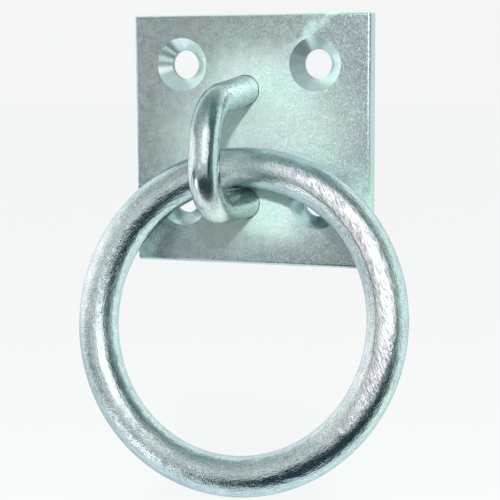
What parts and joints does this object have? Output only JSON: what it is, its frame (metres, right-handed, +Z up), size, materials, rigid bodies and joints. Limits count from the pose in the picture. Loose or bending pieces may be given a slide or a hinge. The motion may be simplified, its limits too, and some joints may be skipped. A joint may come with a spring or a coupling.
{
  "type": "ring on plate",
  "caption": "Square screw-on plate with an upright round-bar staple that holds a swinging ring for ropes, lashings, chains or fenders.",
  "frame": {"origin": "middle of the plate's back face", "axes": "+Z up the plate as it is screwed to an upright face, +Y into that face, so that the staple and the ring stand out along -Y"},
  "size_m": [0.0684, 0.0277, 0.0934],
  "materials": {
    "plate_zinc": "bright zinc plated sheet, satin and lightly mottled",
    "staple_zinc": "bright zinc plated bar, smooth",
    "ring_zinc": "bright zinc plated bar, smooth with a fine grain"
  },
  "bodies": {
    "fixed_plate": {"plate": "plate_zinc", "staple": "staple_zinc"},
    "swinging_ring": {"ring": "ring_zinc"}
  },
  "joints": [
    {"name": "ring_swing", "type": "hinge", "parent": "fixed_plate", "child": "swinging_ring", "pos_m": [0.0012, -0.0073, -0.0052], "axis": [-1, 0, 0], "range_deg": [-11.3, 168.7]}
  ]
}
